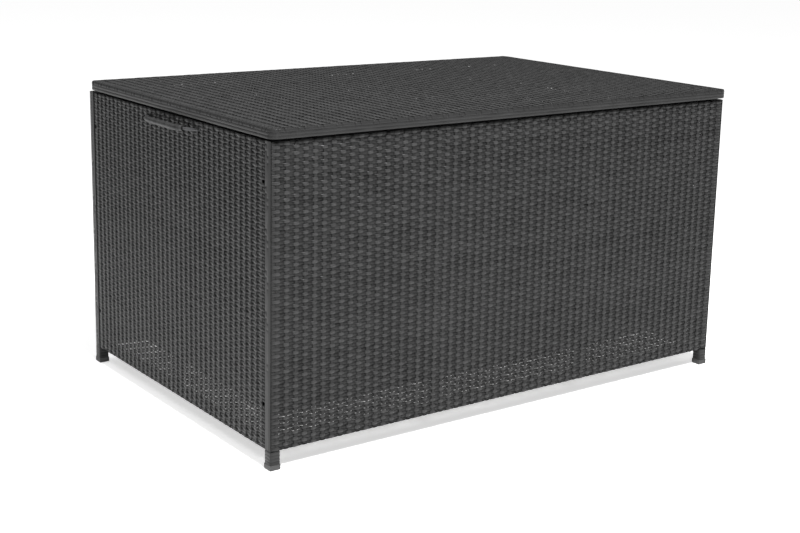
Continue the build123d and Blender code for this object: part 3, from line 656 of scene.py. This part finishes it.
def board_material():
    """Composite board: brushed lengthwise grain with darker streaks."""
    n = Nodes("composite_board")
    grain = n.noise(n.scaled(n.place(), (6, 420, 420)), 1.0, 5.0, 0.62)
    streak = n.noise(n.scaled(n.place(), (2.2, 60, 60)), 1.0, 4.0)
    mixed = n.maths("ADD", n.maths("MULTIPLY", grain, 0.5), n.maths("MULTIPLY", streak, 0.5))
    colour = n.ramp(n.spread(mixed, 0.0, 1.0), (0.075, 0.070, 0.064), (0.16, 0.148, 0.135))
    return n.finish(colour, n.spread(grain, 0.62, 0.8), n.bump(grain, 0.0002, 0.6), 0.3)


def cloth_material(name, dark, light, threads, rough):
    """Plain-woven cloth: crossing threads from two waves, with a soft sheen."""
    n = Nodes(name)
    place = n.node("ShaderNodeUVMap", uv_map="cloth").outputs["UV"]
    waves = []
    for turn in ("X", "Y"):
        wave = n.node("ShaderNodeTexWave", bands_direction=turn, Scale=threads, Distortion=0.4)
        wave.inputs["Detail Scale"].default_value = 2.0
        n.link(place, wave.inputs["Vector"])
        waves.append(wave.outputs["Fac"])
    threads_height = n.maths("MULTIPLY", waves[0], waves[1])
    cloud = n.noise(n.place(), 11.0, 4.0)
    slub = n.noise(n.scaled(place, (30, 900, 1)), 1.0, 3.0)
    mixed = n.maths("ADD", n.maths("MULTIPLY", threads_height, 0.5), n.maths("MULTIPLY", cloud, 0.5))
    colour = n.ramp(n.spread(mixed, 0.0, 1.0, 0.1, 0.8), dark, light)
    normal = n.bump(threads_height, 0.0003, 0.5)
    normal = n.bump(slub, 0.0001, 0.4, normal)
    return n.finish(colour, n.spread(cloud, rough - 0.05, rough + 0.05), normal, 0.25, 0.0, 0.25)


# ------------------------------------------------------------------ build the weave

front_low, front_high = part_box("front_frame")
back_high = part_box("back_frame")[1]
left_low, left_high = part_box("left_frame")
right_low, right_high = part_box("right_frame")
lid_low, lid_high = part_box("lid_frame")
skin_low, skin_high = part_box("left_weave")
tube = left_high.x - left_low.x
skin = left_low.x - skin_low.x
sides_v = (left_low.z, left_high.z)
lid_corner = lid_corner_radius - skin

wicker = strand_material("wicker", (0.001, 0.001, 0.001), (0.031, 0.031, 0.0311), 0.19)
handle_strand = strand_material("handle_strand", (0.004, 0.004, 0.004), (0.036, 0.036, 0.0361), 0.22)

panels = {
    "front_weave": Panel(
        "front", (1, 0, 0), (0, 0, 1), (0, front_low.y, 0), front_high.x, sides_v
    ),
    "back_weave": Panel(
        "back", (-1, 0, 0), (0, 0, 1), (0, back_high.y, 0), back_high.x, sides_v
    ),
    "left_weave": Panel(
        "left", (0, -1, 0), (0, 0, 1), (left_low.x, (left_low.y + left_high.y) / 2, 0),
        (left_high.y - left_low.y) / 2, sides_v,
    ),
    "right_weave": Panel(
        "right", (0, 1, 0), (0, 0, 1), (right_high.x, (right_low.y + right_high.y) / 2, 0),
        (right_high.y - right_low.y) / 2, sides_v,
    ),
}
bolt_low, bolt_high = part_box("corner_bolts")
bolt_zs = (bolt_low.z + bolt_head_radius, bolt_high.z - bolt_head_radius)
bar_low, bar_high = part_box("left_handle_bar")
side_rows = panel_rows(skin_low.z, skin_high.z, bolt_zs[0])
side_gaps = {nearest_row(side_rows, z): bolt_gaps(panels["left_weave"]) for z in bolt_zs}
handle_row = nearest_row(side_rows, (bar_low.z + bar_high.z) / 2)
side_gaps[handle_row] = handle_gaps((bar_high.y - bar_low.y) / 2)
for node, panel in panels.items():
    gaps = side_gaps if node in ("left_weave", "right_weave") else {}
    weave_panel(panel, node, wicker, "box", side_rows, gaps)
    edging = Strands()
    add_straight_edges(edging, panel)
    if node in ("front_weave", "back_weave"):
        add_leg_sleeves(edging, panel)
    add_piece(edging.mesh(f"{node}_edging"), wicker, "box", [node])

lid_middle_y = (lid_low.y + lid_high.y) / 2
lid_panel = Panel(
    "lid", (1, 0, 0), (0, 1, 0), (0, lid_middle_y, lid_high.z), lid_high.x,
    (lid_low.y - lid_middle_y, lid_high.y - lid_middle_y), lid_corner,
)
lid_row_count = math.floor((lid_high.y - lid_low.y - lid_row_margin) / row_pitch)
lid_rows = row_pitch * (np.arange(lid_row_count) - (lid_row_count - 1) / 2)
weave_panel(lid_panel, "lid_weave", wicker, "lid", lid_rows, {})


def lid_marks(loop, spacing):
    """Distances along a loop at which its strand passes over a stake."""
    total = np.linalg.norm(loop - np.roll(loop, -1, 0), axis=1).sum()
    return spacing * (np.arange(round(total / spacing)) + 0.5)


def add_lid_edges(strands):
    """Adds the strands round the lid's edge. The top one is woven over every second stake."""
    half_x, half_y = lid_high.x, (lid_high.y - lid_low.y) / 2
    radius = lid_corner + band_height
    for level in band_levels:
        outermost = level == band_levels[-1]
        spacing = lid_bump_step if outermost else lid_edge_step
        loop = rounded_loop(half_x + band_height, half_y + band_height, radius, spacing)
        steps = np.linalg.norm(np.diff(loop, axis=0), axis=1)
        distance = np.concatenate([[0], np.cumsum(steps)])
        shade = 0.5 + 0.2 * (lid_panel.random.random(len(loop)) - 0.5) * (not outermost)
        places = np.arange(0, distance[-1] + lid_edge_step, lid_edge_step)
        wander = np.interp(distance, places, lid_panel.random.normal(0.0, edge_wander, len(places)))
        if outermost:
            marks = lid_marks(loop, 2 * lid_panel.pitch)
            rise = bumped(distance, marks)
            # painted shade: darker where the top strand dips in behind a stake
            shade += dip_painted_shade * np.minimum(rise, 0)
            outward = np.roll(loop, -1, 0) - np.roll(loop, 1, 0)
            outward = unit(np.column_stack([outward[:, 1], -outward[:, 0]]))
            loop = loop + outward * rise[:, None]
        z = lid_high.z + level + wander
        points = np.column_stack([loop[:, 0], loop[:, 1] + lid_middle_y, z])
        roll = -band_roll if outermost else 0.0
        strands.add(points, edge_section, (0, 0, 1), roll, closed=True, shade=shade)


lid_edging = Strands()
add_lid_edges(lid_edging)
add_piece(lid_edging.mesh("lid_weave_edging"), wicker, "lid", ["lid_weave"])

# ------------------------------------------------------------------ handles


def round_section(radius, sides=10):
    """Outline of a round strand or tube."""
    angles = -2 * np.pi * np.arange(sides) / sides
    return radius * np.column_stack([np.cos(angles), np.sin(angles)])


def handle_route(bar, sign):
    """Points close together along the wrapped part of a handle's bar."""
    low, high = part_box(bar)
    bar_radius = (high.z - low.z) / 2
    frame_x, far_x = (high.x, low.x) if sign < 0 else (low.x, high.x)
    grip_x = far_x - sign * bar_radius
    rise = abs(grip_x - frame_x) + handle_root_depth
    angle = math.atan2(rise, handle_half - grip_half)
    straight = grip_half - handle_bend * math.tan(angle / 2)
    bend = np.linspace(0, angle, 24)
    y = np.concatenate([[0], straight + handle_bend * np.sin(bend)])
    depth = np.concatenate([[0], handle_bend * (1 - np.cos(bend))])
    depth = np.append(depth, depth[-1] + (wrap_half - y[-1]) * math.tan(angle))
    y = np.append(y, wrap_half)
    fine = np.linspace(-wrap_half, wrap_half, route_steps)
    depth = np.interp(np.abs(fine), y, depth)
    middle = (low + high) / 2
    x = grip_x - sign * depth
    return np.column_stack([x, middle.y + fine, np.full(len(fine), middle.z)])


def wind_handle(side, sign):
    """Makes the strand wound round a handle's bar, over a padded core."""
    route = handle_route(f"{side}_handle_bar", sign)
    tangent = unit(np.gradient(route, axis=0))
    beside = unit(np.cross(tangent, (0, 0, 1)))
    steps = np.linalg.norm(np.diff(route, axis=0), axis=1)
    phase = 2 * np.pi * np.concatenate([[0], np.cumsum(steps)]) / wrap_pitch
    radial = np.cos(phase)[:, None] * (0, 0, 1) + np.sin(phase)[:, None] * beside
    strands = Strands()
    shade = 0.5 + 0.16 * np.sin(phase * 0.31) + 0.1 * np.sin(phase * 0.17 + 1)
    strands.add(route + wrap_radius * radial, wrap_section, tangent, shade=shade)
    strands.add(route[::core_step], round_section(wrap_core_radius), (0, 0, 1), shade=0.1)
    node = f"{side}_handle_wrap"
    add_piece(strands.mesh(f"{node}_strand"), handle_strand, "box", [node])


for side, sign in (("left", -1), ("right", 1)):
    wind_handle(side, sign)

# ------------------------------------------------------------------ liner


def strap_places():
    """Middle of each strap where it meets the liner."""
    data = frame["nodes"]["liner_straps"].data
    points = np.array([vertex.co for vertex in data.vertices])
    low, high = points.min(0), points.max(0)
    places = []
    for axis, along in ((1, 0), (0, 1)):
        for edge in (low[axis], high[axis]):
            spots = np.sort(points[np.abs(points[:, axis] - edge) < 0.0005, along])
            for group in np.split(spots, np.flatnonzero(np.diff(spots) > strap_split) + 1):
                place = np.zeros(2)
                place[axis], place[along] = edge, (group[0] + group[-1]) / 2
                places.append(place)
    return np.array(places), low[2]


def settle(piece, held, furthest):
    """Lets a sheet hang from its held points, none moving past furthest, and returns its points."""
    start = np.empty(3 * len(piece.data.vertices))
    piece.data.vertices.foreach_get("co", start)
    start = start.reshape(-1, 3)
    group = piece.vertex_groups.new(name="held")
    group.add([int(index) for index in held], 1.0, "REPLACE")
    cloth = piece.modifiers.new("cloth", "CLOTH")
    cloth.settings.quality = 6
    cloth.settings.mass = 0.25
    cloth.settings.tension_stiffness = 60
    cloth.settings.compression_stiffness = 60
    cloth.settings.bending_stiffness = 1.2
    cloth.settings.vertex_group_mass = "held"
    cloth.point_cache.frame_start = 1
    cloth.point_cache.frame_end = settle_frames
    scene = bpy.context.scene
    for number in range(1, settle_frames + 1):
        scene.frame_set(number)
    rested = piece.evaluated_get(bpy.context.evaluated_depsgraph_get()).data
    places = np.empty(3 * len(rested.vertices))
    rested.vertices.foreach_get("co", places)
    piece.modifiers.remove(cloth)
    piece.vertex_groups.clear()
    scene.frame_set(1)
    moved = places.reshape(-1, 3) - start
    length = np.maximum(np.linalg.norm(moved, axis=1, keepdims=True), 1e-9)
    return start + moved * furthest * np.tanh(length / furthest) / length


def grid_mesh(name, points, map_u, map_v, closed):
    """Mesh of a grid of points, with a map in metres called cloth. A closed one joins its ends."""
    rows, columns = points.shape[:2]
    r, c = np.meshgrid(np.arange(rows - 1), np.arange(columns if closed else columns - 1), indexing="ij")
    r, c = r.ravel(), c.ravel()
    after = (c + 1) % columns
    quads = np.stack(
        [r * columns + c, r * columns + after, (r + 1) * columns + after, (r + 1) * columns + c], 1
    )
    mesh = bpy.data.meshes.new(name)
    mesh.from_pydata(points.reshape(-1, 3).tolist(), [], quads.tolist())
    mesh.polygons.foreach_set("use_smooth", np.ones(len(quads), bool))
    u = np.stack([map_u[c], map_u[c + 1], map_u[c + 1], map_u[c]], 1)
    v = np.stack([map_v[r], map_v[r], map_v[r + 1], map_v[r + 1]], 1)
    layer = mesh.uv_layers.new(name="cloth")
    layer.data.foreach_set("uv", np.stack([u, v], 2).astype(np.float32).ravel())
    return mesh


liner_low, liner_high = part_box("liner")
liner_foot = liner_low.z + sheet_lift
liner_middle = np.array(((liner_low.x + liner_high.x) / 2, (liner_low.y + liner_high.y) / 2))
liner_half = np.array(((liner_high.x - liner_low.x) / 2, (liner_high.y - liner_low.y) / 2)) - piping_radius
wall_loop = rounded_loop(*liner_half, wall_corner, cloth_step, 6) + liner_middle
inward = np.roll(wall_loop, -1, 0) - np.roll(wall_loop, 1, 0)
inward = unit(np.column_stack([-inward[:, 1], inward[:, 0]]))
around = np.linalg.norm(np.roll(wall_loop, -1, 0) - wall_loop, axis=1)
around = np.concatenate([[0], np.cumsum(around)])


def wall_shape():
    """The wall before it settles, as a grid of points, and which of them its foot and straps hold."""
    straps, strap_foot = strap_places()
    marks = [around[np.argmin(np.linalg.norm(wall_loop - place, axis=1))] for place in straps]
    marks = np.sort(marks)
    marks = np.concatenate([[marks[-1] - around[-1]], marks, [marks[0] + around[-1]]])
    gap = np.searchsorted(marks, around[:-1], side="right") - 1
    width = marks[gap + 1] - marks[gap]
    away = np.sin(np.pi * ((around[:-1] - marks[gap]) / width)) ** 2 * np.minimum(1, width / wide_gap)
    rows = round((liner_high.z - liner_low.z) / cloth_step)
    rise = np.linspace(0, 1, rows + 1)[:, None]
    z = liner_foot + (liner_high.z - liner_low.z - sheet_lift) * rise - rim_sag * away * rise**3
    ripple = ripple_depth * np.sin(around[:-1] * ripple_turns + 9 * rise) * np.sin(np.pi * rise)
    inset = wall_slack * away * np.sin(np.pi * rise * 0.62) + np.abs(ripple)
    flat = wall_loop[None] + inset[..., None] * inward[None]
    on_strap = np.min(np.abs(around[:-1, None] - marks[None]), axis=1) < strap_half_width
    held = np.zeros(z.shape, bool)
    held[0] = True
    held[:, on_strap] = z[:, on_strap] > strap_foot
    return np.concatenate([flat, z[..., None]], 2), held


def make_wall():
    """Makes the liner's wall, which hangs from its straps and stays inside the frames."""
    points, held = wall_shape()
    height = (liner_high.z - liner_low.z) * np.linspace(0, 1, len(points))
    mesh = grid_mesh("liner_wall", points, around, height, True)
    wall = add_piece(mesh, liner_fabric, "box", ["liner"])
    points = settle(wall, np.flatnonzero(held.ravel()), wall_travel).reshape(points.shape)
    depth = ((points[..., :2] - wall_loop) * inward).sum(2)
    points[..., :2] += np.maximum(0, -depth)[..., None] * inward
    points[..., 2] = np.clip(points[..., 2], liner_foot, liner_high.z)
    mesh.vertices.foreach_set("co", points.astype(np.float32).ravel())
    mesh.update()
    return wall, points


def make_liner_floor():
    """Makes the liner's floor, which dips a little between the slats."""
    x = np.linspace(-liner_half[0], liner_half[0], floor_columns) + liner_middle[0]
    y = np.linspace(-liner_half[1], liner_half[1], floor_rows) + liner_middle[1]
    slat_low, slat_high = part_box("floor_slats")
    slat_pitch = (slat_high.y - slat_low.y + slat_gap) / slat_count
    into = np.mod(y - slat_low.y, slat_pitch) - (slat_pitch - slat_gap)
    dip = np.where(into > 0, np.sin(np.pi * np.clip(into / slat_gap, 0, 1)), 0)
    grid_x, grid_y = np.meshgrid(x, y)
    swell = floor_swell * np.sin(grid_x * 9 + 2 * np.sin(grid_y * 6)) * np.sin(grid_y * 8)
    floor_z = liner_foot + np.abs(swell) - slat_dip * dip[:, None]
    mesh = grid_mesh("liner_floor", np.stack([grid_x, grid_y, floor_z], 2), x - x[0], y - y[0], False)
    return add_piece(mesh, liner_fabric, "box", ["liner"])


def make_liner_trim(points):
    """Makes the hem round the wall's rim, and the piping along its foot and up its corners."""
    trim = Strands()
    rim = points[-1] - (0, 0, hem_width / 2)
    trim.add(rim, strand_section(hem_width, hem_thick, hem_crown), (0, 0, 1), closed=True, shade=0.4)
    piping = round_section(piping_radius, 8)
    rise = np.full(len(inward), piping_radius / 2)
    foot = points[0] + np.column_stack([piping_radius * inward, rise])
    trim.add(foot, piping, (0, 0, 1), closed=True, shade=0.5)
    for sx, sy in ((1, 1), (-1, 1), (-1, -1), (1, -1)):
        corner = liner_middle + liner_half * (sx, sy)
        column = int(np.argmin(np.linalg.norm(wall_loop - corner, axis=1)))
        seam = points[:, column].copy()
        seam[:, :2] += piping_radius * inward[column]
        trim.add(seam, piping, inward[column].tolist() + [0], shade=0.5)
    return add_piece(trim.mesh("liner_trim"), strap_webbing, "box", ["liner"])


def webbing_material():
    """Webbing: close ribs across its length and a soft, fuzzy face."""
    n = Nodes("strap_webbing")
    ribs = n.node("ShaderNodeTexWave", bands_direction="Z", Scale=210, Distortion=0.6)
    n.link(n.place(), ribs.inputs["Vector"])
    fuzz = n.noise(n.place(), 1400.0, 3.0)
    mixed = n.maths("ADD", n.maths("MULTIPLY", ribs.outputs["Fac"], 0.6), n.maths("MULTIPLY", fuzz, 0.4))
    colour = n.ramp(n.spread(mixed, 0.0, 1.0, 0.1, 0.9), (0.012, 0.012, 0.012), (0.032, 0.032, 0.033))
    normal = n.bump(fuzz, 0.0001, 0.4, n.bump(ribs.outputs["Fac"], 0.0003, 0.6))
    return n.finish(colour, n.spread(fuzz, 0.75, 0.9), normal, 0.2, 0.0, 0.3)


liner_fabric = cloth_material("liner_fabric", (0.016, 0.016, 0.018), (0.040, 0.040, 0.044), 240, 0.72)
strap_webbing = webbing_material()
wall, wall_points = make_wall()
liner_floor = make_liner_floor()
trims = make_liner_trim(wall_points)

# ------------------------------------------------------------------ the CAD pieces' materials

frame_paint = paint_material("frame_paint", (0.022, 0.022, 0.023), (0.034, 0.034, 0.036), 1500, 0.5)
foot_plastic = paint_material("foot_plastic", (0.020, 0.020, 0.020), (0.032, 0.032, 0.032), 900, 0.55)
rubber = paint_material("rubber", (0.014, 0.014, 0.014), (0.024, 0.024, 0.024), 700, 0.75, 0.3)
strut_paint = paint_material("strut_paint", (0.012, 0.012, 0.013), (0.018, 0.018, 0.019), 300, 0.25)
gland_plastic = paint_material("gland_plastic", (0.02, 0.02, 0.02), (0.03, 0.03, 0.03), 900, 0.5)
hinge_steel = metal_material("hinge_steel", (0.05, 0.05, 0.052), (0.09, 0.09, 0.092), 0.42, (900, 90, 900))
rod_chrome = metal_material("rod_chrome", (0.66, 0.66, 0.68), (0.76, 0.76, 0.78), 0.14, (900, 900, 900))
fastener_steel = metal_material(
    "fastener_steel", (0.42, 0.42, 0.43), (0.60, 0.60, 0.62), 0.36, (1200, 1200, 1200)
)
slot_materials = {
    "wicker": wicker,
    "handle_strand": handle_strand,
    "frame_paint": frame_paint,
    "bracket_paint": frame_paint,
    "foot_plastic": foot_plastic,
    "slat_board": board_material(),
    "liner_fabric": liner_fabric,
    "strap_webbing": strap_webbing,
    "rubber": rubber,
    "hinge_steel": hinge_steel,
    "strut_paint": strut_paint,
    "rod_chrome": rod_chrome,
    "gland_plastic": gland_plastic,
    "fastener_steel": fastener_steel,
}
for subpart in frame["record"]["subparts"]:
    data = frame["nodes"][subpart["node"]].data
    data.materials.clear()
    data.materials.append(slot_materials[subpart["material_slot"]])


# ------------------------------------------------------------------ studio


def make_camera():
    """Camera at the front left corner's side, a little above the lid."""
    ahead = Vector((math.sin(camera_yaw), math.cos(camera_yaw), 0))
    right = Vector((math.cos(camera_yaw), -math.sin(camera_yaw), 0))
    up = Vector((0, 0, 1))
    look = ahead * math.cos(camera_pitch) - up * math.sin(camera_pitch)
    tilted_up = up * math.cos(camera_pitch) + ahead * math.sin(camera_pitch)
    x_axis = right * math.cos(camera_roll) + tilted_up * math.sin(camera_roll)
    y_axis = tilted_up * math.cos(camera_roll) - right * math.sin(camera_roll)
    data = bpy.data.cameras.new("camera")
    data.sensor_width = 36.0
    data.lens = camera_lens
    data.shift_y = camera_shift
    data.clip_end = 60
    camera = bpy.data.objects.new("camera", data)
    bpy.context.scene.collection.objects.link(camera)
    turn = Matrix((x_axis, y_axis, -look)).transposed().to_4x4()
    camera.matrix_world = Matrix.Translation(camera_place) @ turn
    bpy.context.scene.camera = camera


def area_light(name, location, size, power):
    """Adds a soft box that points at the middle of the box."""
    data = bpy.data.lights.new(name, "AREA")
    data.shape = "RECTANGLE"
    data.size, data.size_y = size
    data.energy = power
    light = bpy.data.objects.new(name, data)
    bpy.context.scene.collection.objects.link(light)
    light.location = location
    light.rotation_euler = (Vector(lamp_target) - Vector(location)).to_track_quat("-Z", "Y").to_euler()


def make_studio():
    """Pale floor, an even sky and soft boxes."""
    mesh = bpy.data.meshes.new("floor")
    signs = ((-1, -1), (1, -1), (1, 1), (-1, 1))
    corners = [(sx * studio_reach, sy * studio_reach, 0) for sx, sy in signs]
    mesh.from_pydata(corners, [], [(0, 1, 2, 3)])
    floor = bpy.data.objects.new("floor", mesh)
    bpy.context.scene.collection.objects.link(floor)
    n = Nodes("floor")
    n.shader.inputs["Base Color"].default_value = (0.80, 0.80, 0.80, 1)
    n.shader.inputs["Roughness"].default_value = 0.9
    n.shader.inputs["Specular IOR Level"].default_value = 0.0
    n.shader.inputs["Emission Color"].default_value = (1, 1, 1, 1)
    n.shader.inputs["Emission Strength"].default_value = floor_glow
    mesh.materials.append(n.material)

    world = bpy.data.worlds.new("world")
    bpy.context.scene.world = world
    world.use_nodes = True
    tree = world.node_tree
    place = tree.nodes.new("ShaderNodeTexCoord")
    split = tree.nodes.new("ShaderNodeSeparateXYZ")
    climb = tree.nodes.new("ShaderNodeMapRange")
    climb.inputs["From Min"].default_value = 0.05
    climb.inputs["From Max"].default_value = 0.85
    climb.inputs["To Min"].default_value = sky_at_horizon
    climb.inputs["To Max"].default_value = sky_overhead
    tree.links.new(place.outputs["Generated"], split.inputs["Vector"])
    tree.links.new(split.outputs["Z"], climb.inputs["Value"])
    background = tree.nodes["Background"]
    background.inputs["Color"].default_value = (1, 1, 1, 1)
    tree.links.new(climb.outputs["Result"], background.inputs["Strength"])
    area_light("key", (-0.6, -2.5, 4.1), (1.0, 0.8), 415)
    area_light("left", (-2.9, 0.4, 3.8), (1.0, 1.0), 34)
    bpy.context.scene.view_settings.view_transform = "Standard"


make_camera()
make_studio()
